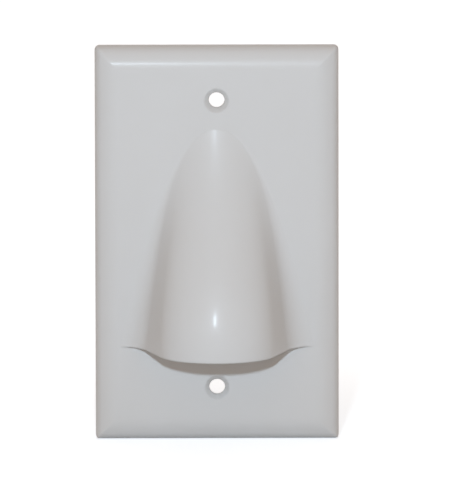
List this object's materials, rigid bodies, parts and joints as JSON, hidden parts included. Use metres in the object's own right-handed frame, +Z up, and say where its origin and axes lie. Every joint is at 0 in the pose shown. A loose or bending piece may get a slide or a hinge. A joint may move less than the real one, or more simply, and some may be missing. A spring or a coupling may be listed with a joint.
{
  "type": "bulk cable wall plate",
  "caption": "Flat bevelled wall plate moulded in one piece with a nose-shaped hood that opens downwards, so loose cables pass through the wall behind it.",
  "frame": {"origin": "on the wall surface, midway between the two screw holes", "axes": "+X to the right seen from the room, +Y into the wall, +Z up along the plate's height"},
  "size_m": [0.0698, 0.0289, 0.1142],
  "materials": {
    "plastic": "satin white with a fine moulded texture"
  },
  "bodies": {
    "root": {"wall_plate": "plastic"}
  },
  "joints": []
}
